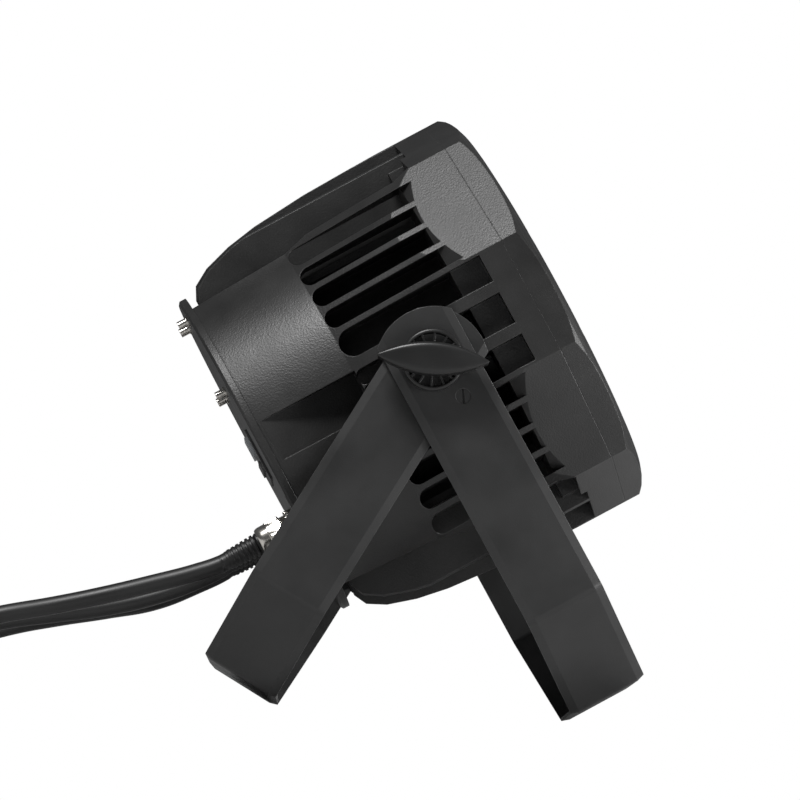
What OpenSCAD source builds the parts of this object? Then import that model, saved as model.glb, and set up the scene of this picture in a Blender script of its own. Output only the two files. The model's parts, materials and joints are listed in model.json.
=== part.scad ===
// Ten-sided LED par can on two nested yokes that fold out into a floor stand.
// The lamp is drawn along +X, its beam axis, and then tilted about the pivot
// that it shares with both yokes.
// +Z is up, +X is the way the beam points, and z = 0 is the floor under the yokes.

/* [Lamp] */
// Angle of the beam above the horizon
tilt = 31.5; // [10:0.5:40]
// Distance from the beam axis to a corner of the ten-sided rim
rim_r = 131; // [129:1:132]
// Radius of the round back half and of the rear cover
back_r = 107; // [105:1:108]
// Height of the beam axis above the pivot, square to the axis
axis_rise = 8; // [6:1:10]
// Distance from the pivot forward to the joint between the housing and the bezel
seam_x = 71; // [70:1:73]
// Distance from the pivot back to the joint between the housing and the rear cover
back_x = 108.5; // [105:0.5:110]

/* [Yokes] */
// Width across the outer faces of the outer yoke
yoke_width = 270; // [268:2:280]
// Length from the pivot to the underside of the outer yoke's base
yoke_len = 224; // [215:1:235]
// Width of the flat bar that the yokes are bent from
bar_w = 50; // [46:1:54]
// Thickness of that bar
bar_t = 3.5; // [3:0.5:4]
// Lean of the outer yoke, forward from straight down
outer_lean = 31.7; // [25:0.1:35]

/* [Leads] */
// Diameter of the power lead
power_d = 11; // [10:0.5:12]
// Diameter of each data lead
data_d = 10; // [9:0.5:11]

/* [Hidden] */
$fn = 96;
small_fn = 40;
eps = 0.01;
// A distance past every face of the lamp, for cuts that run out of it
far = 200;

// Angles of the rim's corners, from straight sideways up to the top
corner_angles = [16.5, 54, 90];
// The flats beside the pivots, and the corner where the lower side facet ends
side_flat_y = rim_r * cos(corner_angles[0]);
side_flat_z = rim_r * sin(corner_angles[0]);

// Outline of the outside, as distance along the axis and radius
cheek_end_x = -43.5;
cheek_r = back_r + 1.5;
rib_meets_rim_x = 50;
slot_floor_r = 88;
slot_front_x = 35.5;
petal_r = rim_r * cos((corner_angles[1] - corner_angles[0]) / 2) - 1;
petal_corner_x = 48;
side_slot_front_x = 55;
side_slot_floor_y = 114;
rib_t = 3.4;
slot_pitch = 15.6;
side_rib_z = 14;
side_rib_t = 7.5;

// The fins in the recess along the top and the one along the bottom
recess_half_y = 46;
recess_floor_z = 80;
fin_t = 3.5;
fin_y = [-32, 0, 32];
fin_back_x = -103;
recess_front_x = 50;
side_recess_z = [-16, 11];

// The sealed box inside, and the space in front for the light engine
box_r = 76;
box_front_x = 30;
engine_r = 104;
engine_back_x = 46;

// Bezel, glass and lenses
bezel_front_x = 89;
opening_r = 100;
glass_r = 106;
glass_t = 4;
gasket_t = 3;
lens_r = 16.5;
lens_back_x = 48;
lens_rings = [[6, 36], [12, 78]];
bezel_screw_r = 111;

// Rear cover and what is on it
cover_t = 5.5;
cover_back_x = -(back_x + cover_t);
cover_screw_r = 98;
cap_screw_places = [[-23, 92], [23, 92], [-23, 43], [23, 43]];
panel_t = 1.5;
button_z = -8;
button_r = 4;
button_gap = 0.3;
button_travel = 1;
button_pitch = 14;
gland_z = -50;
cap_head_x = cover_back_x - 6.5;
gland_len = 26;
// The gland's domed cap, from its full radius down a slope to the end that the lead comes out of
dome_r = 9.2;
dome_end_r = 7.6;
dome_slope = 3;
dome_start = 19;
// Thickness of the boot's rubber round the lead, where it starts and where it ends
boot_wall = 1.6;
boot_end_wall = 0.3;
boot_len = 22;

// Pivot stack, from the lamp outwards
stud_r = 5;
stud_gap = 0.05;
boss_r = 18;
boss_face_y = side_flat_y - 0.6;
nest_gap = 2;
yoke_y = yoke_width / 2;
inner_yoke_inset = bar_t + nest_gap;
inner_ear_y = yoke_y - inner_yoke_inset - bar_t;
free_gap = 0.1;
knob_washer_t = 1.5;
hub_r = 18.5;
hub_t = 8;
grip_len = 68;
grip_h = 20;
grip_turn = 0.5;
grip_t = 12;

// Yoke outline: where the legs turn in, and how wide the base is
bend_len = 165;
base_half_y = 74;
turn_in = atan2(yoke_y - base_half_y, yoke_len - bend_len);
ear_r = 36;
ear_drop = 3.5;
hang_hole_r = 6.5;
lock_screw_r = 4.5;
lock_screw_at = [6, -27];

// The outer yoke's lower corner sets the floor, and the inner yoke's lean brings it down there too
pivot_z = yoke_len * cos(outer_lean) + bar_w / 2 * sin(outer_lean);
inner_len = yoke_len - inner_yoke_inset;
inner_lean = atan2(bar_w / 2, inner_len) + acos(pivot_z / norm([inner_len, bar_w / 2]));

// The origin is under the middle of the lamp and yokes together
front_reach = yoke_len * sin(outer_lean) + bar_w / 2 * cos(outer_lean);
back_reach = -cover_back_x * cos(tilt) + (back_r - 2 + axis_rise) * sin(tilt);
pivot_x = (back_reach - front_reach) / 2;

// Routes of the leads from their boots to their plugs, in millimetres about the pivot's own x.
// Each goes down to the floor, turns round there and ends beside the others.
power_route = [
    [-119, -45, 81.5], [-135, -45, 75], [-160, -45, 67], [-190, -46, 58], [-220, -48, 50],
    [-250, -50, 43], [-285, -50, 33], [-320, -50, 19], [-350, -50, 8], [-375, -50, 5.5], [-400, -49, 5.5],
    [-429, -41, 5.5], [-461, -21, 5.5], [-483, 9, 5.5], [-490, 48, 5.5], [-484, 85, 5.5],
    [-465, 116, 5.5], [-435, 138, 5.5], [-404, 148, 7], [-385, 149, 9.5], [-365, 149, 12], [-345, 149, 12.5]
];
data_in_route = [
    [-119, 0, 81], [-135, 0, 72], [-160, -3, 61], [-190, -9, 52], [-220, -16, 46],
    [-250, -22, 40], [-285, -26, 29], [-320, -27, 14], [-350, -27, 6], [-375, -27, 5], [-400, -26, 5],
    [-425, -18, 5], [-450, -1, 5], [-464, 24, 5], [-467, 50, 5], [-461, 78, 5],
    [-444, 103, 5], [-418, 119, 5], [-395, 123, 6], [-375, 123, 8.5], [-355, 123, 11], [-345, 123, 11]
];
data_out_route = [
    [-119, 45, 81], [-135, 44, 72], [-160, 38, 60], [-190, 26, 52], [-220, 13, 45],
    [-250, 4, 37], [-285, -1, 24], [-320, -4, 9], [-350, -4, 5], [-375, -4, 5], [-400, -3, 5],
    [-422, 6, 5], [-438, 23, 5], [-444, 46, 5], [-438, 70, 5],
    [-422, 88, 5], [-400, 96, 6], [-380, 97, 8.5], [-360, 97, 11], [-345, 97, 11]
];
tube_sides = 8;
plug_len = 62;
plug_r = [12.5, 11, 11];

// Frames

module pivot_frame() {
    translate([pivot_x, 0, pivot_z]) children();
}

module lamp_frame() {
    pivot_frame() rotate([0, -tilt, 0]) translate([0, 0, axis_rise]) children();
}

// Shapes that repeat

// Turns a half outline of [distance along the axis, radius] about the beam axis
module turned(outline) {
    rotate([0, 90, 0]) rotate_extrude() polygon([for (p = outline) [p[1], p[0]]]);
}

// A disc or ring about the beam axis
module ring(x0, x1, r, bore = 0) {
    translate([x0, 0, 0]) rotate([0, 90, 0]) difference() {
        cylinder(h = x1 - x0, r = r);
        if (bore > 0) translate([0, 0, -1]) cylinder(h = x1 - x0 + 2, r = bore);
    }
}

// A pin along the beam axis at a place across it
module pin_x(x0, x1, r, y, z, sides = small_fn) {
    translate([x0, y, z]) rotate([0, 90, 0]) cylinder(h = x1 - x0, r = r, $fn = sides);
}

// A pin along Y, on the side given by its sign
module pin_y(y0, y1, r, side, x = 0, z = 0) {
    translate([x, side * y0, z]) rotate([-90 * side, 0, 0])
        cylinder(h = y1 - y0, r = r, $fn = small_fn * 2);
}

// Corners of one quarter of the rim, and the whole rim as a polygon in Y and Z
function rim_corner(angle) = [rim_r * cos(angle), rim_r * sin(angle)];
rim_angles = concat(
    [for (a = corner_angles) a],
    [for (i = [1, 0]) 180 - corner_angles[i]],
    [for (i = [0, 1]) 180 + corner_angles[i]],
    [270],
    [for (i = [1, 0]) 360 - corner_angles[i]]
);

module rim_prism(x0, x1) {
    translate([x0, 0, 0]) rotate([90, 0, 90]) linear_extrude(x1 - x0)
        polygon([for (a = rim_angles) rim_corner(a)]);
}

// Housing

module housing_outside() {
    intersection() {
        rim_prism(-back_x, seam_x);
        turned([
            [-back_x, 0], [-back_x, back_r - 1], [cheek_end_x, cheek_r],
            [rib_meets_rim_x, rim_r + 1], [seam_x, rim_r + 8], [seam_x, 0]
        ]);
    }
}

// Space that the slots between the ribs may take
module slot_space() {
    turned([
        [cheek_end_x - 1, slot_floor_r], [slot_front_x, slot_floor_r], [slot_front_x, petal_r],
        [petal_corner_x, rim_r + 0.5], [petal_corner_x, rim_r + 20], [cheek_end_x - 1, rim_r + 20]
    ]);
}

// One slot plate through both sides, between two heights, round at its rear end
module slot_plate(z0, z1) {
    end_r = (z1 - z0) / 2;
    for (side = [-1, 1], up = [0, 1]) mirror([0, 0, up])
        translate([0, side > 0 ? far : -recess_half_y, 0]) rotate([90, 0, 0])
            linear_extrude(far - recess_half_y) {
            translate([cheek_end_x + end_r, z0]) square([far, z1 - z0]);
            translate([cheek_end_x + end_r, z0 + end_r]) circle(r = end_r, $fn = small_fn);
        }
}

module side_slots() {
    intersection() {
        slot_space();
        union() {
            slot_plate(side_rib_z + side_rib_t / 2, side_flat_z - rib_t / 2);
            for (i = [0:3]) {
                z0 = side_flat_z + rib_t / 2 + i * slot_pitch;
                slot_plate(z0, z0 + slot_pitch - rib_t);
            }
            slot_plate(0, side_rib_z - side_rib_t / 2 + eps);
        }
    }
    // The slots beside the pivot run further forward, under the flat
    for (side = [-1, 1], up = [0, 1]) mirror([0, 0, up]) {
        y0 = side > 0 ? side_slot_floor_y : -far;
        translate([0, y0, side_rib_z + side_rib_t / 2])
            cube([
                side_slot_front_x, far - side_slot_floor_y,
                side_flat_z - side_rib_z - side_rib_t / 2 - rib_t / 2
            ]);
        translate([0, y0, -eps])
            cube([side_slot_front_x, far - side_slot_floor_y, side_rib_z - side_rib_t / 2 + eps]);
    }
}

// Recesses along the top and bottom, where the tall fins stand, and the ones along the sides
module recesses() {
    for (up = [0, 1]) mirror([0, 0, up]) {
        translate([-150, -recess_half_y, recess_floor_z])
            cube([150 + slot_front_x, 2 * recess_half_y, 100]);
        translate([0, -recess_half_y, 112]) cube([recess_front_x, 2 * recess_half_y, 100]);
        for (side = [-1, 1])
            translate([cheek_end_x, side > 0 ? recess_half_y - eps : -76, 103])
                cube([recess_front_x - 4 - cheek_end_x, 76 - recess_half_y + eps, 60]);
    }
    // The ones along the sides get deeper towards the front
    for (side = [0, 1]) mirror([0, side, 0])
        translate([0, 0, side_recess_z[0]]) linear_extrude(side_recess_z[1] - side_recess_z[0]) polygon([
            [-back_x + 2, back_r - 1.5], [cheek_end_x + 1, slot_floor_r],
            [cheek_end_x + 1, 150], [-back_x + 2, 150]
        ]);
}

// Curved outer edge of the tall fins
module fin_envelope() {
    intersection() {
        rim_prism(-back_x, seam_x);
        turned([
            [fin_back_x, 0], [fin_back_x, 103], [-99, 111], [-88, 117.5], [-70, 123], [-50, 126.5],
            [-14, 129.5], [20, rim_r - 0.5], [seam_x, rim_r + 1], [seam_x, 0]
        ]);
    }
}

module tall_fins() {
    intersection() {
        fin_envelope();
        for (up = [0, 1], y = fin_y) mirror([0, 0, up])
            translate([-back_x, y - fin_t / 2, recess_floor_z - 2])
                cube([back_x + recess_front_x + 4, fin_t, 80]);
    }
}

module housing() {
    color("#1d1e20") lamp_frame() {
        difference() {
            union() {
                difference() {
                    housing_outside();
                    side_slots();
                    recesses();
                }
                tall_fins();
                for (side = [-1, 1])
                    pin_y(slot_floor_r - 6, boss_face_y, boss_r, side, 0, -axis_rise);
            }
            ring(-back_x - 1, box_front_x, box_r);
            ring(engine_back_x, seam_x + 1, engine_r);
            for (side = [-1, 1])
                pin_y(96, boss_face_y + 1, stud_r + stud_gap, side, 0, -axis_rise);
        }
    }
}

// Front

module bezel() {
    color("#1b1c1e") lamp_frame() difference() {
        intersection() {
            rim_prism(seam_x, bezel_front_x);
            turned([
                [seam_x, 0], [seam_x, rim_r + 2], [80.5, rim_r + 0.5], [84, 127.5], [86.5, 123],
                [88.3, 118], [bezel_front_x, 112], [bezel_front_x, 0]
            ]);
        }
        ring(seam_x - 1, bezel_front_x + 1, opening_r);
        ring(seam_x - 1, seam_x + gasket_t + glass_t, glass_r + 0.5);
        for (a = rim_angles)
            pin_x(bezel_front_x - 4, bezel_front_x + 1, 4.2,
                bezel_screw_r * cos(a), bezel_screw_r * sin(a));
    }
}

module bezel_screws() {
    color("#3a3b3d") lamp_frame() for (a = rim_angles) difference() {
        pin_x(bezel_front_x - 4, bezel_front_x - 1, 3.6, bezel_screw_r * cos(a), bezel_screw_r * sin(a));
        pin_x(bezel_front_x - 2.5, bezel_front_x, 1.6, bezel_screw_r * cos(a), bezel_screw_r * sin(a), 6);
    }
}

module glass_gasket() {
    color("#2c2c2c") lamp_frame() ring(seam_x, seam_x + gasket_t, glass_r, opening_r + 1);
}

module front_glass() {
    color("#b9c6cc", 0.4) lamp_frame()
        ring(seam_x + gasket_t, seam_x + gasket_t + glass_t, glass_r);
}

// Places of the lenses across the axis
lens_places = [for (row = lens_rings, i = [0:row[0] - 1])
    [row[1] * cos(i * 360 / row[0]), row[1] * sin(i * 360 / row[0])]];

module lens_plate() {
    color("#202123") lamp_frame() difference() {
        ring(62, 65, engine_r - 0.5);
        for (p = lens_places) pin_x(61, 66, lens_r - 0.5, p[0], p[1]);
    }
}

module lenses() {
    color("#dfe7ea", 0.5) lamp_frame() for (p = lens_places)
        translate([lens_back_x, p[0], p[1]]) rotate([0, 90, 0])
            rotate_extrude($fn = small_fn)
                polygon([[0, 0], [6, 0], [lens_r - 1, 14], [lens_r - 1, 18], [lens_r - 5, 20], [0, 21]]);
}

module led_board() {
    color("#e9e9e4") lamp_frame() ring(engine_back_x, lens_back_x, engine_r - 1);
}

module power_supply() {
    color("#8d9094") lamp_frame() translate([-96, -52, -30]) cube([100, 104, 50]);
}

// Rear

function button_y(i) = (i - 1.5) * button_pitch;

module rear_cover() {
    color("#1f2022") lamp_frame() difference() {
        turned([
            [-back_x, 0], [-back_x, back_r], [cover_back_x + 1.5, back_r], [cover_back_x, back_r - 2],
            [cover_back_x, 0]
        ]);
        for (i = [0:3])
            pin_x(cover_back_x - 1, cover_back_x + 2.3 + button_travel, button_r + button_gap, button_y(i), button_z);
        for (i = [0:7])
            pin_x(cover_back_x - 1, cover_back_x + 3, 4.2,
                cover_screw_r * cos(i * 45 + 22.5), cover_screw_r * sin(i * 45 + 22.5));
    }
}

module cover_gasket() {
    color("#2c2c2c") lamp_frame() ring(-back_x, -back_x + 2, box_r - 0.5, box_r - 5);
}

module cover_screws() {
    color("#4a4b4d") lamp_frame() for (i = [0:7]) {
        y = cover_screw_r * cos(i * 45 + 22.5);
        z = cover_screw_r * sin(i * 45 + 22.5);
        difference() {
            pin_x(cover_back_x + 0.5, cover_back_x + 3, 3.6, y, z);
            pin_x(cover_back_x, cover_back_x + 2, 1.6, y, z, 6);
        }
    }
}

module supply_screws() {
    color("#d6d6d2") lamp_frame() for (p = cap_screw_places) difference() {
        union() {
            pin_x(cover_back_x - 1, cover_back_x, 3.6, p[0], p[1]);
            pin_x(cap_head_x, cover_back_x - 0.5, 2.8, p[0], p[1]);
        }
        pin_x(cap_head_x - 1, cap_head_x + 2.5, 1.4, p[0], p[1], 6);
    }
}

module control_panel() {
    color("#303236") lamp_frame() difference() {
        translate([cover_back_x - panel_t, -36, -18]) cube([panel_t, 72, 34]);
        for (i = [0:3])
            pin_x(cover_back_x - 5, cover_back_x + 1, button_r + button_gap, button_y(i), button_z);
    }
}

module display_window() {
    color("#aab4b6") lamp_frame()
        translate([cover_back_x - panel_t - 2, -22, 0]) cube([2, 44, 13]);
}

module button(i) {
    color("#77797c") lamp_frame()
        pin_x(cover_back_x - 3, cover_back_x + 2.2, button_r, button_y(i), button_z);
}

module menu_button() button(0);
module down_button() button(1);
module up_button() button(2);
module enter_button() button(3);

module gland(y) {
    mouth_x = cover_back_x - gland_len;
    color("#d9d6cf") lamp_frame() {
        pin_x(cover_back_x - 5, cover_back_x, 11.5, y, gland_z, 6);
        pin_x(cover_back_x - 9, cover_back_x - 5, 8.5, y, gland_z);
        pin_x(cover_back_x - 19, cover_back_x - 9, 11, y, gland_z, 6);
        translate([mouth_x, y, gland_z]) rotate([0, 90, 0])
            rotate_extrude($fn = small_fn) polygon([
                [0, 0], [dome_end_r, 0], [dome_r, dome_slope], [dome_r, gland_len - dome_start], [0, gland_len - dome_start]
            ]);
    }
}

module power_gland() gland(-45);
module data_in_gland() gland(0);
module data_out_gland() gland(45);

module boot(y, lead_d) {
    mouth_x = cover_back_x - gland_len;
    color("#17181a") lamp_frame() translate([mouth_x, y, gland_z]) rotate([0, -90, 0])
        rotate_extrude($fn = small_fn) polygon([
            [0, 0], [lead_d / 2 + boot_wall, 0], [lead_d / 2 + boot_end_wall, boot_len], [0, boot_len]
        ]);
}

module power_boot() boot(-45, power_d);
module data_in_boot() boot(0, data_d);
module data_out_boot() boot(45, data_d);

// Leads

// A route starts at its boot's tip and goes on through its own points
function lead_start(y) =
    let (x = cover_back_x - gland_len - boot_len, z = gland_z + axis_rise)
    [x * cos(tilt) - z * sin(tilt), y, pivot_z + x * sin(tilt) + z * cos(tilt)];
function from_boot(route, y) = concat([lead_start(y)], route);

// The way the tube faces at each point, and its ring of corners there
function heading(pts, i) =
    let (d = pts[min(i + 1, len(pts) - 1)] - pts[max(i - 1, 0)]) d / norm(d);
function tube_ring(pts, i, r) =
    let (
        h = i == 0 ? [-cos(tilt), 0, -sin(tilt)] : heading(pts, i),
        s = cross(h, [0, 0, 1]) / norm(cross(h, [0, 0, 1])),
        u = cross(s, h)
    )
    [
        for (k = [0:tube_sides - 1])
            let (turn = (k + 0.5) * 360 / tube_sides)
            pts[i] + r * (cos(turn) * s + sin(turn) * u)
    ];

module tube(pts, d) {
    n = len(pts);
    r = d / 2;
    points = [for (i = [0:n - 1]) each tube_ring(pts, i, r)];
    sides = [for (i = [0:n - 2], k = [0:tube_sides - 1])
        let (a = i * tube_sides + k, b = i * tube_sides + (k + 1) % tube_sides)
        [a, b, b + tube_sides, a + tube_sides]];
    ends = [
        [for (k = [tube_sides - 1:-1:0]) k],
        [for (k = [0:tube_sides - 1]) (n - 1) * tube_sides + k]
    ];
    translate([pivot_x, 0, 0]) polyhedron(points = points, faces = concat(sides, ends));
}

module power_lead() color("#151617") tube(from_boot(power_route, -45), power_d);
module data_in_lead() color("#151617") tube(from_boot(data_in_route, 0), data_d);
module data_out_lead() color("#151617") tube(from_boot(data_out_route, 45), data_d);

module plug(route, r) {
    tip = route[len(route) - 1];
    color("#1c1d1f") translate([pivot_x + tip[0], tip[1], r]) rotate([0, 90, 0])
        rotate_extrude($fn = small_fn) polygon([
            [0, 0], [r - 4, 0], [r - 2, 14], [r, 16], [r, 34], [r - 2, 36],
            [r - 2, plug_len], [r - 4, plug_len],
            [r - 4, plug_len - 12], [0, plug_len - 12]
        ]);
}

module power_plug() plug(power_route, plug_r[0]);
module data_in_plug() plug(data_in_route, plug_r[1]);
module data_out_plug() plug(data_out_route, plug_r[2]);

// Yokes

// Half outline of the outside of the bar, set in by a distance
function yoke_half(inset) = [
    [yoke_y - inset, ear_r],
    [yoke_y - inset, -bend_len + inset * tan(turn_in / 2)],
    [base_half_y - inset * tan((90 - turn_in) / 2), -yoke_len + inset]
];
function reversed(pts) = [for (i = [len(pts) - 1:-1:0]) pts[i]];
function mirrored(pts) = [for (i = [len(pts) - 1:-1:0]) [-pts[i][0], pts[i][1]]];

module bar_outline() {
    intersection() {
        translate([-bar_w / 2, -yoke_len - 1]) square([bar_w, yoke_len + ear_r + 2]);
        union() {
            translate([0, -ear_drop]) circle(r = ear_r);
            translate([-bar_w / 2, -yoke_len - 1]) square([bar_w, yoke_len + 1 - ear_drop]);
        }
    }
}

module yoke(inset) {
    out = yoke_half(inset);
    in = yoke_half(inset + bar_t);
    difference() {
        intersection() {
            rotate([90, 0, 90]) linear_extrude(bar_w + 2, center = true)
                polygon(concat(out, mirrored(out), reversed(concat(in, mirrored(in)))));
            rotate([90, 0, 0]) linear_extrude(400, center = true) bar_outline();
        }
        for (side = [-1, 1])
            pin_y(inner_ear_y - 10, yoke_y + 10, stud_r + stud_gap, side);
        translate([0, 0, -yoke_len - 1]) cylinder(h = 20, r = hang_hole_r, $fn = small_fn * 2);
        children();
    }
}

module outer_frame() {
    pivot_frame() rotate([0, -outer_lean, 0]) children();
}

module inner_frame() {
    pivot_frame() rotate([0, inner_lean, 0]) children();
}

module outer_yoke() {
    color("#232426") outer_frame() yoke(0)
        for (side = [-1, 1])
            pin_y(yoke_y - bar_t - 1, yoke_y + 1, lock_screw_r, side, lock_screw_at[0], lock_screw_at[1]);
}

module inner_yoke() {
    color("#232426") inner_frame() yoke(inner_yoke_inset);
}

module yoke_lock_screws() {
    color("#1a1a1b") outer_frame() for (side = [-1, 1]) difference() {
        pin_y(yoke_y - bar_t, yoke_y - 0.4, lock_screw_r, side, lock_screw_at[0], lock_screw_at[1]);
        translate([lock_screw_at[0], side * yoke_y, lock_screw_at[1]]) rotate([0, 25, 0])
            cube([1.2, 3, 20], center = true);
    }
}

// Washers, knobs

module washer_y(y0, y1, r, side) {
    difference() {
        pin_y(y0, y1, r, side);
        pin_y(y0 - 1, y1 + 1, stud_r + stud_gap, side);
    }
}

module pivot_washer(side) {
    color("#3c3d3f") pivot_frame() rotate([0, -tilt, 0])
        washer_y(boss_face_y, inner_ear_y - free_gap, boss_r - 1, side);
}

module yoke_washer(side) {
    color("#3c3d3f") inner_frame()
        washer_y(inner_ear_y + bar_t, yoke_y - bar_t - free_gap, 16, side);
}

module right_pivot_washer() pivot_washer(-1);
module left_pivot_washer() pivot_washer(1);
module right_yoke_washer() yoke_washer(-1);
module left_yoke_washer() yoke_washer(1);

module knob_washer(side) {
    color("#8b8c8e") pivot_frame()
        washer_y(yoke_y + free_gap, yoke_y + free_gap + knob_washer_t, 13, side);
}

module knob_stud(side) {
    color("#b9b9b6") pivot_frame()
        pin_y(100, yoke_y + knob_washer_t + hub_t, stud_r, side);
}

// An almond-shaped bar across a round hub, with a hole for the stud
module knob_grip(side) {
    y0 = yoke_y + free_gap + knob_washer_t;
    almond_r = (grip_len * grip_len / 4 + grip_h * grip_h / 4) / grip_h;
    color("#161718") pivot_frame() rotate([0, grip_turn, 0]) difference() {
        union() {
            pin_y(y0, y0 + hub_t, hub_r, side);
            intersection() {
                for (up = [-1, 1]) intersection() {
                    pin_y(
                        y0 + hub_t - 1, y0 + hub_t + grip_t, almond_r, side,
                        0, up * (almond_r - grip_h / 2)
                    );
                    pin_y(
                        y0 + hub_t - 1, y0 + hub_t + grip_t, almond_r, side,
                        0, -up * (almond_r - grip_h / 2)
                    );
                }
                pin_y(y0 + hub_t - 1, y0 + hub_t + grip_t, grip_len / 2 - 1, side);
            }
        }
        pin_y(y0 - 1, yoke_y + knob_washer_t + hub_t, stud_r, side);
    }
}

module right_knob_grip() knob_grip(-1);
module left_knob_grip() knob_grip(1);
module right_knob_stud() knob_stud(-1);
module left_knob_stud() knob_stud(1);
module right_knob_washer() knob_washer(-1);
module left_knob_washer() knob_washer(1);

housing();
bezel();
front_glass();
glass_gasket();
lens_plate();
lenses();
led_board();
power_supply();
rear_cover();
cover_gasket();
cover_screws();
bezel_screws();
supply_screws();
control_panel();
display_window();
menu_button();
down_button();
up_button();
enter_button();
power_gland();
data_in_gland();
data_out_gland();
power_boot();
data_in_boot();
data_out_boot();
power_lead();
data_in_lead();
data_out_lead();
power_plug();
data_in_plug();
data_out_plug();
right_pivot_washer();
left_pivot_washer();
outer_yoke();
yoke_lock_screws();
inner_yoke();
right_yoke_washer();
left_yoke_washer();
right_knob_grip();
right_knob_stud();
right_knob_washer();
left_knob_grip();
left_knob_stud();
left_knob_washer();
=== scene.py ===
"""Looks of a ten-sided LED par can on two nested yokes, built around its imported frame.

Everything is in metres in the frame's own axes: +Z up, +X the way the beam points, and z = 0 the floor
that the yokes stand on. The lamp's own axes are tilted about the pivot, with x along the beam.
"""
import json
import math

import bmesh
import bpy
from mathutils import Matrix, Vector


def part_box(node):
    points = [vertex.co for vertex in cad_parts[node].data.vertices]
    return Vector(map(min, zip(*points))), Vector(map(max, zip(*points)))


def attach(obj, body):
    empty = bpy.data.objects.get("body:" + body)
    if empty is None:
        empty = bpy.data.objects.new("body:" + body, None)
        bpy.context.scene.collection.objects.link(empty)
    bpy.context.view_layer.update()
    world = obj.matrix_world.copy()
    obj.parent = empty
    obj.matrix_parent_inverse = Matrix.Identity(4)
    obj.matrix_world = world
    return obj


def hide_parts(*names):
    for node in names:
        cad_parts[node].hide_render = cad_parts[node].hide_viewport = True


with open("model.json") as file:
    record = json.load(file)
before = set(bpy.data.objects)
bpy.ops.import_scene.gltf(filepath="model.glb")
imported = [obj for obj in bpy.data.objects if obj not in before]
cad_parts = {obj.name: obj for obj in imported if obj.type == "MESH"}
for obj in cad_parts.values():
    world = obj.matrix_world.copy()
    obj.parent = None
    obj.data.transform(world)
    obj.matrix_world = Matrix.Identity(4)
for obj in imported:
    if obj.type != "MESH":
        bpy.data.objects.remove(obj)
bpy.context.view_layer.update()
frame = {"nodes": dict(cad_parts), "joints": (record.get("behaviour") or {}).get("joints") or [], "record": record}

# ---------------------------------------------------------------- Places, from the frame


def middle(node):
    low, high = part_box(node)
    return (low + high) / 2


def lean_of(mount_name):
    """Angle of a yoke from straight down, positive forwards, from the way its hanging hole faces."""
    axis = next(m for m in frame["record"]["mounts"] if m["name"] == mount_name)["axis"]
    return math.atan2(axis[0], -axis[2])


# Both knob studs lie on the pivot's axis, and the buttons slide along the beam
PIVOT = Vector((middle("right_knob_stud").x, 0, middle("right_knob_stud").z))
BEAM = Vector(next(j for j in frame["joints"] if j["name"] == "menu_button_press")["axis"])
TILT = math.atan2(BEAM.z, BEAM.x)
AXIS_RISE = 0.008
LAMP = (
    Matrix.Translation(PIVOT)
    @ Matrix.Rotation(-TILT, 4, "Y")
    @ Matrix.Translation((0, 0, AXIS_RISE))
)

# Rear of the lamp, in its own axes
COVER_BACK = -0.114
GLAND_Z = -0.05
GLAND_LEN = 0.026
BOOT_LEN = 0.022

# ---------------------------------------------------------------- Camera


def make_camera():
    """A long lens a little below the lamp, looking along +Y and slightly up."""
    data = bpy.data.cameras.new("camera")
    data.sensor_width = 36
    data.lens = 271.84
    data.clip_end = 100
    camera = bpy.data.objects.new("camera", data)
    bpy.context.scene.collection.objects.link(camera)
    yaw = math.radians(0.45)
    pitch = math.radians(4.76)
    roll = math.radians(3.23)
    place = PIVOT + Vector((-0.0461, -3.7052, -0.3216))
    camera.matrix_world = (
        Matrix.Translation(place)
        @ Matrix.Rotation(-yaw, 4, "Z")
        @ Matrix.Rotation(math.pi / 2 + pitch, 4, "X")
        @ Matrix.Rotation(roll, 4, "Z")
    )
    bpy.context.scene.camera = camera


make_camera()

# ---------------------------------------------------------------- Materials


def add(tree, kind, inputs=None, **settings):
    """A node with its settings and its inputs. An input is a value or another node's output."""
    made = tree.nodes.new(kind)
    for name, value in settings.items():
        setattr(made, name, value)
    for name, value in (inputs or {}).items():
        if isinstance(value, bpy.types.NodeSocket):
            tree.links.new(value, made.inputs[name])
        else:
            made.inputs[name].default_value = value
    return made


def new_material(name):
    material = bpy.data.materials.new(name)
    material.use_nodes = True
    tree = material.node_tree
    tree.nodes.clear()
    shader = add(tree, "ShaderNodeBsdfPrincipled")
    output = add(tree, "ShaderNodeOutputMaterial", {"Surface": shader.outputs[0]})
    output.name = "output"
    return material, tree, shader


def noise_of(tree, size, detail=2.0, stretch=None):
    """Noise whose features are about as large as size, in metres."""
    place = add(tree, "ShaderNodeTexCoord").outputs["Object"]
    if stretch is not None:
        place = add(tree, "ShaderNodeMapping", {"Vector": place, "Scale": stretch}).outputs[0]
    inputs = {"Vector": place, "Scale": 1 / size, "Detail": detail}
    return add(tree, "ShaderNodeTexNoise", inputs).outputs["Fac"]


def remap(tree, value, low, high, to_low, to_high):
    inputs = {"Value": value, "From Min": low, "From Max": high, "To Min": to_low, "To Max": to_high}
    return add(tree, "ShaderNodeMapRange", inputs).outputs["Result"]


def mixed(tree, factor, first, second):
    """Colour between two colours."""
    made = add(tree, "ShaderNodeMix", data_type="RGBA")
    for socket, value in ((made.inputs[0], factor), (made.inputs[6], first), (made.inputs[7], second)):
        if isinstance(value, bpy.types.NodeSocket):
            tree.links.new(value, socket)
        else:
            socket.default_value = value
    return made.outputs[2]


def times(tree, first, second):
    return add(tree, "ShaderNodeMath", {0: first, 1: second}, operation="MULTIPLY").outputs[0]


def grey(level, warmth=0.0):
    return (level * (1 + warmth), level, level * (1 - warmth), 1)


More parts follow.
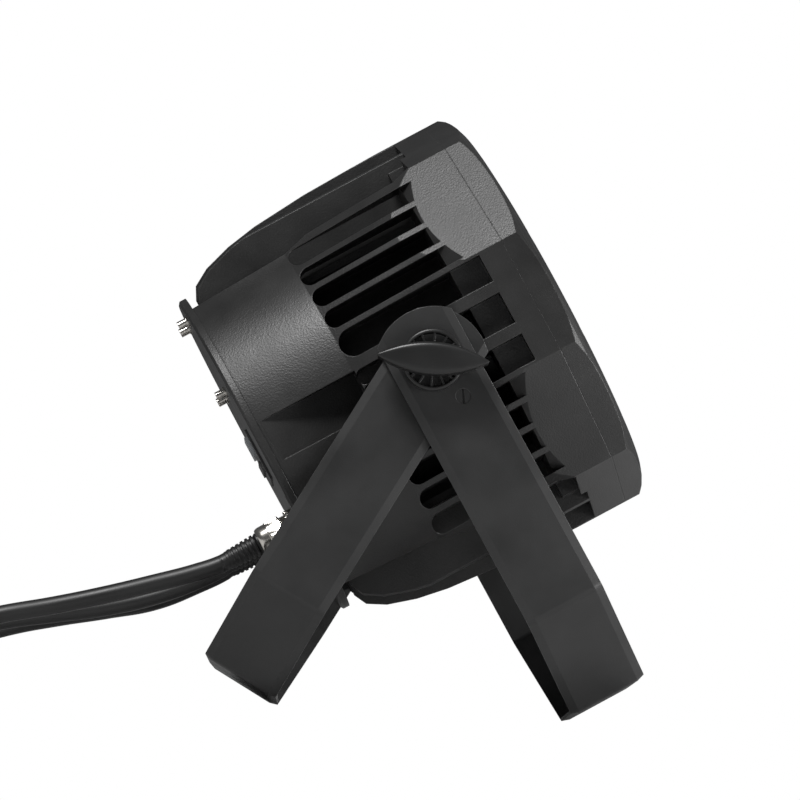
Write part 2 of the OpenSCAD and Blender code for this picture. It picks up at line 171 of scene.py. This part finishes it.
def edges_of(tree, radius):
    """The normal rounded over the edges, and a mask that is 1 on them."""
    rounded = add(tree, "ShaderNodeBevel", {"Radius": radius}, samples=4).outputs[0]
    normal = add(tree, "ShaderNodeNewGeometry").outputs["Normal"]
    facing = add(tree, "ShaderNodeVectorMath", {0: rounded, 1: normal}, operation="DOT_PRODUCT")
    return rounded, remap(tree, facing.outputs["Value"], 0.985, 0.86, 0, 1)


def coating(name, level, rough, grain, relief, edge=0.0008, worn=0.05, warmth=0.0, gloss=0.5):
    """Black coating: a fine grain, faint clouds in its shade, and edges rubbed a little lighter."""
    material, tree, shader = new_material(name)
    grains = noise_of(tree, grain, 2.5)
    clouds = noise_of(tree, 0.035, 3.0)
    specks = noise_of(tree, grain * 0.45, 1.0)
    rounded, edge_mask = edges_of(tree, edge)
    height = add(tree, "ShaderNodeMath", {0: grains, 1: times(tree, specks, 0.35)}, operation="ADD").outputs[0]
    bump = add(tree, "ShaderNodeBump", {"Height": height, "Distance": relief, "Normal": rounded})
    rubbed = times(tree, edge_mask, remap(tree, noise_of(tree, 0.006, 2.0), 0.42, 0.62, 0.15, 1.0))
    cloudy = remap(tree, clouds, 0.3, 0.7, 0, 1)
    body = mixed(tree, cloudy, grey(level * 0.8, warmth), grey(level * 1.25, warmth))
    colour = mixed(tree, rubbed, body, grey(worn, warmth))
    tree.links.new(colour, shader.inputs["Base Color"])
    tree.links.new(remap(tree, clouds, 0.3, 0.7, rough - 0.04, rough + 0.05), shader.inputs["Roughness"])
    tree.links.new(bump.outputs[0], shader.inputs["Normal"])
    shader.inputs["Specular IOR Level"].default_value = gloss
    return material


def metal(name, colour, rough, scratch=0.0004, edge=0.0003):
    """Plated metal with fine scratches and slightly uneven polish."""
    material, tree, shader = new_material(name)
    rounded, edge_mask = edges_of(tree, edge)
    marks = noise_of(tree, scratch, 2.0, (1.0, 1.0, 0.15))
    stains = noise_of(tree, 0.004, 3.0)
    bump = add(tree, "ShaderNodeBump", {"Height": marks, "Distance": 0.00002, "Normal": rounded})
    darker = tuple(c * 0.82 for c in colour[:3]) + (1,)
    stained = mixed(tree, remap(tree, stains, 0.35, 0.7, 0, 1), colour, darker)
    tree.links.new(stained, shader.inputs["Base Color"])
    tree.links.new(remap(tree, stains, 0.3, 0.7, rough - 0.05, rough + 0.1), shader.inputs["Roughness"])
    tree.links.new(bump.outputs[0], shader.inputs["Normal"])
    shader.inputs["Metallic"].default_value = 1.0
    return material


def clear(name, colour, rough, ior):
    """Clear glass or acrylic, with a little dust in its polish."""
    material, tree, shader = new_material(name)
    dust = noise_of(tree, 0.012, 4.0)
    tree.links.new(remap(tree, dust, 0.45, 0.75, rough, rough + 0.06), shader.inputs["Roughness"])
    dusty = mixed(tree, remap(tree, dust, 0.3, 0.8, 0, 1), colour, grey(0.93))
    tree.links.new(dusty, shader.inputs["Base Color"])
    shader.inputs["Transmission Weight"].default_value = 1.0
    shader.inputs["IOR"].default_value = ior
    return material


cast = coating("cast_coat", 0.020, 0.40, 0.0011, 0.00016, worn=0.055, warmth=0.01)
yoke_coat = coating("yoke_coat", 0.022, 0.42, 0.0006, 0.00005, edge=0.0006, worn=0.13)
moulded = coating("moulded_nylon", 0.012, 0.36, 0.0008, 0.00003, edge=0.0006, worn=0.04)
dark_steel = coating("blackened_steel", 0.03, 0.35, 0.0005, 0.00002, edge=0.0003, worn=0.12)
rubber = coating("lead_rubber", 0.014, 0.44, 0.0009, 0.00004, edge=0.0004, worn=0.02)
soft_seal = coating("seal_silicone", 0.03, 0.6, 0.0007, 0.00003, worn=0.04)
panel_coat = coating("panel_film", 0.045, 0.38, 0.0005, 0.00002, edge=0.0003, worn=0.08)
button_skin = coating("button_rubber", 0.16, 0.5, 0.0005, 0.00002, edge=0.0005, worn=0.22)
board = coating("board_mask", 0.75, 0.4, 0.0008, 0.00002, edge=0.0002, worn=0.7)
display = coating("display_cover", 0.52, 0.2, 0.0008, 0.00001, edge=0.0006, worn=0.6, warmth=-0.04)
supply = metal("supply_sheet", grey(0.5), 0.4)
nickel = metal("nickel_plate", (0.80, 0.77, 0.72, 1), 0.2)
zinc = metal("zinc_plate", (0.62, 0.62, 0.6, 1), 0.32)
glass = clear("front_pane", (0.95, 0.98, 0.97, 1), 0.02, 1.5)
acrylic = clear("lens_acrylic", (0.97, 0.98, 0.98, 1), 0.04, 1.49)

# Finish of each CAD node that is seen as it is
CAD_FINISH = {
    cast: ["housing", "bezel", "rear_cover"],
    moulded: ["lens_plate"],
    dark_steel: ["cover_screws", "bezel_screws", "yoke_lock_screws"],
    rubber: ["right_pivot_washer", "left_pivot_washer", "right_yoke_washer", "left_yoke_washer"],
    soft_seal: ["glass_gasket", "cover_gasket"],
    panel_coat: ["control_panel"],
    button_skin: ["menu_button", "down_button", "up_button", "enter_button"],
    board: ["led_board"],
    display: ["display_window"],
    supply: ["power_supply"],
    nickel: ["supply_screws"],
    zinc: ["right_knob_stud", "left_knob_stud", "right_knob_washer", "left_knob_washer"],
    glass: ["front_glass"],
    acrylic: ["lenses"],
}
for finish, nodes in CAD_FINISH.items():
    for name in nodes:
        for place in frame["nodes"][name].material_slots:
            place.material = finish

# ---------------------------------------------------------------- Leads

# Points of each lead's route after its boot, measured from the pivot's x
POWER_ROUTE = [
    (-0.119, -0.045, 0.0815), (-0.135, -0.045, 0.075), (-0.160, -0.045, 0.067), (-0.190, -0.046, 0.058),
    (-0.220, -0.048, 0.050), (-0.250, -0.050, 0.043), (-0.285, -0.050, 0.033), (-0.320, -0.050, 0.019),
    (-0.350, -0.050, 0.008), (-0.375, -0.050, 0.0055), (-0.400, -0.049, 0.0055), (-0.429, -0.041, 0.0055),
    (-0.461, -0.021, 0.0055), (-0.483, 0.009, 0.0055), (-0.490, 0.048, 0.0055), (-0.484, 0.085, 0.0055),
    (-0.465, 0.116, 0.0055), (-0.435, 0.138, 0.0055), (-0.404, 0.148, 0.007), (-0.385, 0.149, 0.0095),
    (-0.365, 0.149, 0.012), (-0.345, 0.149, 0.0125),
]
DATA_IN_ROUTE = [
    (-0.119, 0.000, 0.081), (-0.135, 0.000, 0.072), (-0.160, -0.003, 0.061), (-0.190, -0.009, 0.052),
    (-0.220, -0.016, 0.046), (-0.250, -0.022, 0.040), (-0.285, -0.026, 0.029), (-0.320, -0.027, 0.014),
    (-0.350, -0.027, 0.006), (-0.375, -0.027, 0.005), (-0.400, -0.026, 0.005), (-0.425, -0.018, 0.005),
    (-0.450, -0.001, 0.005), (-0.464, 0.024, 0.005), (-0.467, 0.050, 0.005), (-0.461, 0.078, 0.005),
    (-0.444, 0.103, 0.005), (-0.418, 0.119, 0.005), (-0.395, 0.123, 0.006), (-0.375, 0.123, 0.0085),
    (-0.355, 0.123, 0.011), (-0.345, 0.123, 0.011),
]
DATA_OUT_ROUTE = [
    (-0.119, 0.045, 0.081), (-0.135, 0.044, 0.072), (-0.160, 0.038, 0.060), (-0.190, 0.026, 0.052),
    (-0.220, 0.013, 0.045), (-0.250, 0.004, 0.037), (-0.285, -0.001, 0.024), (-0.320, -0.004, 0.009),
    (-0.350, -0.004, 0.005), (-0.375, -0.004, 0.005), (-0.400, -0.003, 0.005), (-0.422, 0.006, 0.005),
    (-0.438, 0.023, 0.005), (-0.444, 0.046, 0.005), (-0.438, 0.070, 0.005), (-0.422, 0.088, 0.005),
    (-0.400, 0.096, 0.006), (-0.380, 0.097, 0.0085), (-0.360, 0.097, 0.011), (-0.345, 0.097, 0.011),
]
# How far each lead runs straight on from its boot
STRAIGHT_START = 0.006


def smooth_curve(name, points, diameter, first_way):
    """A round tube along one smooth curve through the points."""
    data = bpy.data.curves.new(name, "CURVE")
    data.dimensions = "3D"
    data.bevel_depth = diameter / 2
    data.bevel_resolution = 6
    data.resolution_u = 10
    data.use_fill_caps = True
    spline = data.splines.new("BEZIER")
    spline.bezier_points.add(len(points) - 1)
    for knot, point in zip(spline.bezier_points, points):
        knot.co = point
        knot.handle_left_type = knot.handle_right_type = "AUTO"
    curve = bpy.data.objects.new(name, data)
    bpy.context.scene.collection.objects.link(curve)
    bpy.context.view_layer.update()
    first = spline.bezier_points[0]
    first.handle_left_type = first.handle_right_type = "FREE"
    first.handle_right = first.co + first_way * STRAIGHT_START
    first.handle_left = first.co - first_way * STRAIGHT_START
    return curve


def lead(name, route, side, diameter):
    """A lead from its boot to its plug, as one cord."""
    start = LAMP @ Vector((COVER_BACK - GLAND_LEN - BOOT_LEN, side, GLAND_Z))
    points = [start] + [Vector((PIVOT.x + x, y, z)) for x, y, z in route]
    piece = smooth_curve(name + "_lead_sheath", points, diameter, -BEAM)
    piece.data.materials.append(rubber)
    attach(piece, "lamp")
    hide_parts(name + "_lead")


# ---------------------------------------------------------------- Making meshes

MM = 0.001


def mesh_piece(name, bm, material, smooth_angle=32):
    """Puts a bmesh in the scene, with its faces outwards and its shading sharp only at real edges."""
    bmesh.ops.recalc_face_normals(bm, faces=bm.faces)
    mesh = bpy.data.meshes.new(name)
    bm.to_mesh(mesh)
    bm.free()
    mesh.shade_smooth()
    mesh.set_sharp_from_angle(angle=math.radians(smooth_angle))
    if material is not None:
        mesh.materials.append(material)
    piece = bpy.data.objects.new(name, mesh)
    bpy.context.scene.collection.objects.link(piece)
    return piece


def add_rings(bm, rings, ends=True):
    """A skin over rings of points, each with the same number, with a cap on each end unless told not to."""
    loops = [[bm.verts.new(point) for point in ring] for ring in rings]
    count = len(loops[0])
    for first, second in zip(loops, loops[1:]):
        for i in range(count):
            j = (i + 1) % count
            bm.faces.new((first[i], first[j], second[j], second[i]))
    if ends:
        bm.faces.new(loops[0][::-1])
        bm.faces.new(loops[-1])
    return loops


def round_ring(place, along, radius, sides):
    """A circle of points about a place's own X axis."""
    turns = [2 * math.pi * i / sides for i in range(sides)]
    return [place @ Vector((along, radius * math.cos(t), radius * math.sin(t))) for t in turns]


def hexagon_ring(place, along, flat, limit, sides):
    """A hexagon about a place's X axis, its corners cut back to a limiting radius."""
    points = []
    for i in range(sides):
        turn = 2 * math.pi * i / sides
        to_flat = turn % (math.pi / 3) - math.pi / 6
        radius = min(flat / math.cos(to_flat), limit)
        points.append(place @ Vector((along, radius * math.cos(turn), radius * math.sin(turn))))
    return points


def turned(place, outline, sides):
    """Rings of a turned shape, from an outline of (along, radius) in millimetres."""
    return [round_ring(place, along * MM, radius * MM, sides) for along, radius in outline]


def turned_piece(name, place, outline, material, sides):
    """A piece turned about a place's X axis."""
    bm = bmesh.new()
    add_rings(bm, turned(place, outline, sides))
    return mesh_piece(name, bm, material)


def settle(piece):
    """Makes a piece's modifiers part of its mesh."""
    bpy.context.view_layer.update()
    done = piece.evaluated_get(bpy.context.evaluated_depsgraph_get())
    mesh = bpy.data.meshes.new_from_object(done)
    piece.modifiers.clear()
    piece.data = mesh


def cut(piece, tools):
    """Cuts closed tools out of a piece, and takes the tools away."""
    for tool in tools:
        modifier = piece.modifiers.new("cut", "BOOLEAN")
        modifier.operation = "DIFFERENCE"
        modifier.solver = "EXACT"
        modifier.object = tool
    settle(piece)
    for tool in tools:
        bpy.data.objects.remove(tool)


def round_edges(piece, width, smooth_angle=32):
    """Rounds the edges sharper than 40 degrees."""
    modifier = piece.modifiers.new("rounded", "BEVEL")
    modifier.width = width
    modifier.segments = 2
    modifier.limit_method = "ANGLE"
    modifier.angle_limit = math.radians(40)
    settle(piece)
    piece.data.shade_smooth()
    piece.data.set_sharp_from_angle(angle=math.radians(smooth_angle))


def stands_for(piece, body, slot_name, *nodes):
    """Puts a piece on a body, in place of any nodes named; its slot name is not used."""
    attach(piece, body)
    if nodes:
        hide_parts(*nodes)


# ---------------------------------------------------------------- Yokes

# Sizes of the outer yoke, from the pivot, and of the flat bar that both are bent from
YOKE_HALF = 0.135
YOKE_LEN = 0.224
BAR_W = 0.050
BAR_T = 0.0035
NEST_GAP = 0.002
BEND_LEN = 0.165
BASE_HALF = 0.074
EAR_R = 0.036
EAR_DROP = 0.0035
BEND_R = 0.007
# The outer face slopes down to each long edge, over this width and by this depth
FACE_LINE = 0.005
FACE_DROP = 0.0016
STUD_BORE_R = 0.00505
LOCK_SCREW_R = 0.0045
LOCK_SCREW_AT = (0.006, -0.027)
HANG_HOLE_R = 0.0065
# Half the length of a tool that goes through both legs
PAST_LEGS = 0.2


def rounded_path(corners, radius, steps):
    """Points and inward normals along a path in Y and Z, with an arc at each inner corner."""
    path = []
    for before, corner, after in zip(corners, corners[1:], corners[2:]):
        come = (corner - before).normalized()
        leave = (after - corner).normalized()
        turn = come.angle(leave)
        start = corner - come * radius * math.tan(turn / 2)
        inward = Vector((0, come.z, -come.y))
        if inward.dot(after - corner) < 0:
            inward = -inward
        middle_of_arc = start + inward * radius
        spin = 1 if come.cross(leave).x > 0 else -1
        for i in range(steps + 1):
            around = Matrix.Rotation(spin * turn * i / steps, 3, "X")
            out = around @ -inward
            path.append((middle_of_arc + out * radius, -out))
    return path


def yoke_columns():
    """Places across the bar, closer together over the line near each edge."""
    half = BAR_W / 2
    inner = half - FACE_LINE
    steps = 10
    across = [inner * (2 * i / steps - 1) for i in range(steps + 1)]
    return [-half, -half + FACE_LINE / 2] + across + [half - FACE_LINE / 2, half]


def yoke_piece(name, place, inset):
    """A flat bar bent into a yoke: round ears, a shallow slope along both edges, and rounded bends."""
    slant = math.atan2(YOKE_HALF - BASE_HALF, YOKE_LEN - BEND_LEN)
    side = YOKE_HALF - inset
    bend = -BEND_LEN + inset * math.tan(slant / 2)
    foot = BASE_HALF - inset * math.tan((math.pi / 2 - slant) / 2)
    base = -YOKE_LEN + inset
    corners = [Vector((0, side, 0)), Vector((0, side, bend)), Vector((0, foot, base)),
               Vector((0, -foot, base)), Vector((0, -side, bend)), Vector((0, -side, 0))]
    ears = [(Vector((0, side, 0)), Vector((0, -1, 0))), (Vector((0, -side, 0)), Vector((0, 1, 0)))]
    stations = [ears[0]] + rounded_path(corners, BEND_R, 5) + [ears[1]]
    columns = yoke_columns()
    last = len(stations) - 1
    rings = []
    for number, (point, inward) in enumerate(stations):
        outer = []
        inner = []
        for across in columns:
            lift = 0
            if number in (0, last):
                lift = math.sqrt(EAR_R ** 2 - across ** 2) - EAR_DROP
            drop = max(0, abs(across) - BAR_W / 2 + FACE_LINE) / FACE_LINE * FACE_DROP
            at = point + Vector((across, 0, lift))
            outer.append(place @ (at + inward * drop))
            inner.append(place @ (at + inward * BAR_T))
        rings.append(outer + inner[::-1])
    bm = bmesh.new()
    loops = add_rings(bm, rings, ends=False)
    count = len(loops[0])
    for loop in (loops[0], loops[-1]):
        for i in range(len(columns) - 1):
            bm.faces.new((loop[i], loop[i + 1], loop[count - 2 - i], loop[count - 1 - i]))
    return mesh_piece(name, bm, yoke_coat)


def bore_tool(place, radius, start, end):
    """A round tool along a place's X axis."""
    bm = bmesh.new()
    add_rings(bm, [round_ring(place, along, radius, 48) for along in (start, end)])
    return mesh_piece("tool", bm, None)


def make_yokes():
    """Both yokes at their leans, with the bores for the studs, the lock screws and a hanging bolt."""
    plans = (
        ("outer", lean_of("outer_hang_hole"), 0.0),
        ("inner", lean_of("inner_hang_hole"), BAR_T + NEST_GAP),
    )
    for name, lean, inset in plans:
        place = Matrix.Translation(PIVOT) @ Matrix.Rotation(-lean, 4, "Y")
        piece = yoke_piece(name + "_yoke_bar", place, inset)
        across = Matrix.Rotation(math.pi / 2, 4, "Z")
        upright = Matrix.Rotation(-math.pi / 2, 4, "Y")
        tools = [
            bore_tool(place @ across, STUD_BORE_R, -PAST_LEGS, PAST_LEGS),
            bore_tool(place @ upright, HANG_HOLE_R, -YOKE_LEN - 0.016, -YOKE_LEN + 0.024),
        ]
        if name == "outer":
            screw_x, screw_z = LOCK_SCREW_AT
            screw = place @ Matrix.Translation((screw_x, 0, screw_z)) @ across
            tools.append(bore_tool(screw, LOCK_SCREW_R, -PAST_LEGS, PAST_LEGS))
        cut(piece, tools)
        round_edges(piece, 0.0005, smooth_angle=9)
        stands_for(piece, name + "_yoke", "yoke", name + "_yoke")


make_yokes()

# ---------------------------------------------------------------- Knobs

GRIP_LEN = 0.066
GRIP_H = 0.020
GRIP_TURN = math.radians(0.5)
# The almond's two arcs would meet this far from its middle, but each tip is rounded off
ARC_REACH = 0.034
TIP_ROUND = 0.0016
# The outer face falls away towards the tips, and the cross-section is a rounded oblong
CROWN = 0.0022
SQUARENESS = 0.36
# Where the bar starts above the knob's back, and where the ribs in the hub's dish are
BAR_START = 0.0045
RIB_TURNS = (40, 62, 90, 118, 140, 220, 242, 270, 298, 320)
RIB_MIDDLE = (0.0061, 0.0125, 0)
RIB_SIZE = (0.003, 0.0086, 0.0011, 1)


def almond_rings(place, back, front):
    """Cross-sections of a bar that is almond-shaped from outside, with its corners rounded."""
    arc_r = (ARC_REACH ** 2 + (GRIP_H / 2) ** 2) / GRIP_H
    tip = GRIP_LEN / 2 - TIP_ROUND
    places = [tip * math.sin(math.radians(a)) for a in range(-90, 91, 6)]
    tip_h = math.sqrt(arc_r ** 2 - tip ** 2) - (arc_r - GRIP_H / 2)
    sections = [(x, math.sqrt(arc_r ** 2 - x ** 2) - (arc_r - GRIP_H / 2)) for x in places]
    caps = [
        (tip + TIP_ROUND * math.sin(math.radians(a)), tip_h * math.cos(math.radians(a)))
        for a in (25, 50, 72, 86)
    ]
    sections = [(-x, h) for x, h in caps[::-1]] + sections + caps
    rings = []
    for x, half_h in sections:
        crown = CROWN * (2 * x / GRIP_LEN) ** 2
        middle_y = (back + front - crown) / 2
        half_y = (front - crown - back) / 2
        ring = []
        for i in range(40):
            turn = 2 * math.pi * (i + 0.5) / 40
            c, s = math.cos(turn), math.sin(turn)
            z = half_h * math.copysign(abs(c) ** SQUARENESS, c)
            y = middle_y + half_y * math.copysign(abs(s) ** SQUARENESS, s)
            ring.append(place @ Vector((x, y, z)))
        rings.append(ring)
    return rings


def make_knob(name, side):
    """A clamp knob: an almond bar across a dished hub with short ribs in it, as closed shells that overlap."""
    low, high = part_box(name + "_knob_grip")
    face = min(abs(low.y), abs(high.y))
    top = max(abs(low.y), abs(high.y))
    place = Matrix.Translation(PIVOT) @ Matrix.Rotation(GRIP_TURN, 4, "Y") @ Matrix.Diagonal((1, side, 1, 1))
    outward = place @ Matrix.Translation((0, face, 0)) @ Matrix.Rotation(math.pi / 2, 4, "Z")
    bm = bmesh.new()
    add_rings(bm, turned(outward, [
        (0, 5.1), (0, 17.6), (0.5, 18.3), (1.2, 18.5), (6.6, 18.5), (7.6, 18.1),
        (8, 17.4), (8, 16.6), (7.6, 16.1), (5.2, 15.8), (5.0, 15.3), (5.0, 9.4), (7.8, 8.8), (8, 8.2), (8, 5.1),
    ], 72))
    add_rings(bm, almond_rings(place, face + BAR_START, top))
    for turn in RIB_TURNS:
        rib = (
            outward @ Matrix.Rotation(math.radians(turn), 4, "X")
            @ Matrix.Translation(RIB_MIDDLE) @ Matrix.Diagonal(RIB_SIZE)
        )
        bmesh.ops.create_cube(bm, size=1, matrix=rib)
    hub = mesh_piece(name + "_knob_body", bm, moulded)
    stands_for(hub, name + "_knob", "knob", name + "_knob_grip")


make_knob("right", -1)
make_knob("left", 1)

# ---------------------------------------------------------------- Glands, boots and plugs

GLAND_FLAT = 0.0100
NUT_FLAT = 0.0096
DOME_START = 0.0222
DOME_LEN = 0.0036
DOME_R = 0.0089
MOUTH_LIP = 0.0004


def rearward(side):
    """A place on the cover, with its X axis straight out of the back."""
    return LAMP @ Matrix.Translation((COVER_BACK, side, GLAND_Z)) @ Matrix.Rotation(math.pi, 4, "Z")


def make_gland(name, side, lead_r):
    """A nickel cable gland: hexagon flange, thread, hexagon body, domed cap with a bore for the boot."""
    place = rearward(side)
    sides = 72
    mouth = lead_r + 0.0018
    rings = [
        round_ring(place, 0.0, 0.0095, sides), round_ring(place, 0.0, 0.0104, sides),
        round_ring(place, 0.0006, 0.0104, sides),
        hexagon_ring(place, 0.0008, GLAND_FLAT, 0.0106, sides),
        hexagon_ring(place, 0.0014, GLAND_FLAT, 0.0116, sides),
        hexagon_ring(place, 0.0046, GLAND_FLAT, 0.0116, sides),
        hexagon_ring(place, 0.0052, GLAND_FLAT, 0.0103, sides),
    ]
    for i in range(5):
        start = 0.0053 + i * 0.0008
        rings += [round_ring(place, start, 0.0081, sides), round_ring(place, start + 0.0004, 0.0086, sides)]
    rings += [
        hexagon_ring(place, 0.0094, NUT_FLAT, 0.0100, sides),
        hexagon_ring(place, 0.0101, NUT_FLAT, 0.0111, sides),
        hexagon_ring(place, 0.0178, NUT_FLAT, 0.0111, sides),
        hexagon_ring(place, 0.0185, NUT_FLAT, 0.0098, sides),
        round_ring(place, 0.0188, 0.0093, sides),
    ]
    for step in range(7):
        turn = math.radians(step * 15)
        along = DOME_START + DOME_LEN * math.sin(turn)
        radius = mouth + MOUTH_LIP + (DOME_R - mouth) * math.cos(turn)
        rings.append(round_ring(place, along, radius, sides))
    rings += [round_ring(place, 0.0255, mouth, sides), round_ring(place, 0.0235, mouth - 0.0003, sides)]
    bm = bmesh.new()
    add_rings(bm, rings)
    piece = mesh_piece(name + "_gland_body", bm, nickel, 25)
    stands_for(piece, "lamp", "gland", name + "_gland")


def make_boot(name, side, lead_r):
    """A ribbed rubber strain relief that tapers down onto the lead."""
    place = rearward(side)
    start = GLAND_LEN - 0.0022
    end = GLAND_LEN + BOOT_LEN
    ribs = 6
    inner = lead_r / MM
    groove = inner + 0.25
    outline = [(start / MM, inner + 1.2), (GLAND_LEN / MM + 0.6, inner + 1.6)]
    for i in range(ribs):
        low = (GLAND_LEN + BOOT_LEN * (0.10 + 0.86 * i / ribs)) / MM
        high = (GLAND_LEN + BOOT_LEN * (0.10 + 0.86 * (i + 0.62) / ribs)) / MM
        rib = inner + 1.6 - 1.1 * i / ribs
        outline += [(low, groove), (low + 0.3, rib), (high, rib - 0.1), (high + 0.3, groove)]
    outline += [(end / MM - 0.2, groove), (end / MM, inner + 0.05)]
    piece = turned_piece(name + "_boot_sleeve", place, outline, rubber, 48)
    stands_for(piece, "lamp", "boot", name + "_boot")
    return piece


# How far from a plug's middle its pins are, as a share of its radius
PIN_SPREAD = 0.34


def make_plug(name, radius, pins):
    """A moulded plug with a ridged grip, a collar and an open nose with pins in it."""
    low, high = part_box(name + "_plug")
    place = Matrix.Translation((low.x, (low.y + high.y) / 2, (low.z + high.z) / 2))
    length = (high.x - low.x) / MM
    r = radius / MM
    outline = [(0, r - 4.2), (0.8, r - 3.8), (4, r - 3.4)]
    for i in range(5):
        at = 6 + i * 2.4
        outline += [(at, r - 2.6), (at + 0.4, r - 1.4), (at + 1.4, r - 1.3), (at + 1.8, r - 2.4)]
    outline += [(19, r - 1), (21, r - 0.2), (33, r - 0.2), (35, r - 0.9), (36, r - 2), (length - 0.8, r - 2),
                (length, r - 2.6), (length, r - 3.8), (length - 12, r - 4)]
    piece = turned_piece(name + "_plug_body", place, outline, moulded, 56)
    stands_for(piece, "lamp", "plug", name + "_plug")
    bm = bmesh.new()
    for i in range(pins):
        turn = 2 * math.pi * (i + 0.25) / pins
        out = radius * PIN_SPREAD
        at = place @ Matrix.Translation((0, out * math.cos(turn), out * math.sin(turn)))
        pin = [(length - 13, 1.0), (length - 2.2, 1.0), (length - 1.6, 0.8), (length - 1.3, 0.4)]
        add_rings(bm, turned(at, pin, 16))
    contacts = mesh_piece(name + "_plug_pins", bm, nickel)
    stands_for(contacts, "lamp", "plug")
    return [piece, contacts]


# ---------------------------------------------------------------- Light engine

# Number of lenses in each ring, and the ring's radius
LENS_RINGS = ((6, 0.036), (12, 0.078))
BOARD_FRONT = 0.048
PACKAGE_SIZE = (0.0016, 0.0072, 0.0072, 1)
DIE_SIZE = (0.0004, 0.0018, 0.0018, 1)
DIE_STEP = 0.0014
# Each die's colour, and which corner of the package it is in
DIES = {
    "red": ((0.30, 0.05, 0.04, 1), (-1, -1)),
    "green": ((0.10, 0.22, 0.09, 1), (1, -1)),
    "blue": ((0.09, 0.12, 0.30, 1), (-1, 1)),
    "white": ((0.72, 0.60, 0.16, 1), (1, 1)),
}


def emitter_material(name, colour):
    """A die under its clear gel, slightly mottled."""
    material, tree, shader = new_material("emitter_" + name)
    bright = tuple(min(1, c * 1.3) for c in colour[:3]) + (1,)
    mottled = mixed(tree, remap(tree, noise_of(tree, 0.0006, 2.0), 0.3, 0.7, 0, 1), colour, bright)
    tree.links.new(mottled, shader.inputs["Base Color"])
    shader.inputs["Roughness"].default_value = 0.25
    shader.inputs["Coat Weight"].default_value = 0.6
    return material


def make_leds():
    """One four-colour emitter under each lens, on the board."""
    spots = [
        (radius * math.cos(2 * math.pi * i / count), radius * math.sin(2 * math.pi * i / count))
        for count, radius in LENS_RINGS
        for i in range(count)
    ]
    bm = bmesh.new()
    for y, z in spots:
        at = LAMP @ Matrix.Translation((BOARD_FRONT - PACKAGE_SIZE[0] / 2, y, z))
        bmesh.ops.create_cube(bm, size=1, matrix=at @ Matrix.Diagonal(PACKAGE_SIZE))
    piece = mesh_piece("led_packages", bm, board)
    round_edges(piece, 0.0002)
    stands_for(piece, "lamp", "led_board")
    for name, (colour, (across, up)) in DIES.items():
        dies = bmesh.new()
        for y, z in spots:
            at = LAMP @ Matrix.Translation((BOARD_FRONT + 0.0001, y + across * DIE_STEP, z + up * DIE_STEP))
            bmesh.ops.create_cube(dies, size=1, matrix=at @ Matrix.Diagonal(DIE_SIZE))
        die = mesh_piece("led_dies_" + name, dies, emitter_material(name, colour))
        stands_for(die, "lamp", "led_board")


# Each lead's route, its place across the cover, its diameter and length, and its plug's radius and pins
LEADS = (
    ("power", POWER_ROUTE, -0.045, 0.011, 0.65, 0.0125, 3),
    ("data_in", DATA_IN_ROUTE, 0.0, 0.010, 0.58, 0.011, 3),
    ("data_out", DATA_OUT_ROUTE, 0.045, 0.010, 0.51, 0.011, 3),
)
for name, route, side, diameter, length, plug_r, pins in LEADS:
    make_gland(name, side, diameter / 2)
    on_lead = [make_boot(name, side, diameter / 2)] + make_plug(name, plug_r, pins)
    lead(name, route, side, diameter)
make_leds()

# ---------------------------------------------------------------- Floor, world and lights


def make_floor():
    """A pale floor, seen only from above, so that a view from below it isn't blocked."""
    mesh = bpy.data.meshes.new("floor")
    half = 6.0
    below = -0.0003
    mesh.from_pydata([(-half, -half, below), (half, -half, below), (half, half, below), (-half, half, below)],
                     [], [(0, 1, 2, 3)])
    floor = bpy.data.objects.new("floor", mesh)
    bpy.context.scene.collection.objects.link(floor)
    material, tree, shader = new_material("pale_floor")
    shade = remap(tree, noise_of(tree, 0.4, 3.0), 0.3, 0.7, 0.50, 0.54)
    tree.links.new(shade, shader.inputs["Base Color"])
    shader.inputs["Roughness"].default_value = 0.7
    back = add(tree, "ShaderNodeNewGeometry").outputs["Backfacing"]
    open_below = add(tree, "ShaderNodeBsdfTransparent")
    split = add(tree, "ShaderNodeMixShader", {0: back, 1: shader.outputs[0], 2: open_below.outputs[0]})
    tree.links.new(split.outputs[0], tree.nodes["output"].inputs["Surface"])
    mesh.materials.append(material)


def make_world():
    """White where it is seen directly, and a softer studio grey for what it lights."""
    world = bpy.data.worlds.new("studio")
    bpy.context.scene.world = world
    world.use_nodes = True
    tree = world.node_tree
    tree.nodes.clear()
    seen = add(tree, "ShaderNodeLightPath").outputs["Is Camera Ray"]
    white = add(tree, "ShaderNodeBackground", {"Color": (1, 1, 1, 1), "Strength": 1.0})
    soft = add(tree, "ShaderNodeBackground", {"Color": (0.96, 0.98, 1, 1), "Strength": 0.085})
    split = add(tree, "ShaderNodeMixShader", {0: seen, 1: soft.outputs[0], 2: white.outputs[0]})
    add(tree, "ShaderNodeOutputWorld", {"Surface": split.outputs[0]})


def soft_box(name, place, width, height, power):
    """A rectangular area light that faces the lamp."""
    data = bpy.data.lights.new(name, "AREA")
    data.shape = "RECTANGLE"
    data.size = width
    data.size_y = height
    data.energy = power
    light = bpy.data.objects.new(name, data)
    bpy.context.scene.collection.objects.link(light)
    light.location = PIVOT + Vector(place)
    light.rotation_euler = (-Vector(place)).to_track_quat("-Z", "Y").to_euler()
    light.visible_camera = False


make_floor()
make_world()
soft_box("key", (-0.95, -1.6, 2.4), 0.9, 0.7, 88)
soft_box("low", (0.75, -0.62, -0.06), 0.4, 0.2, 2.4)
soft_box("rim", (1.7, -0.1, 0.35), 0.3, 1.0, 26)
bpy.context.scene.view_settings.view_transform = "Standard"
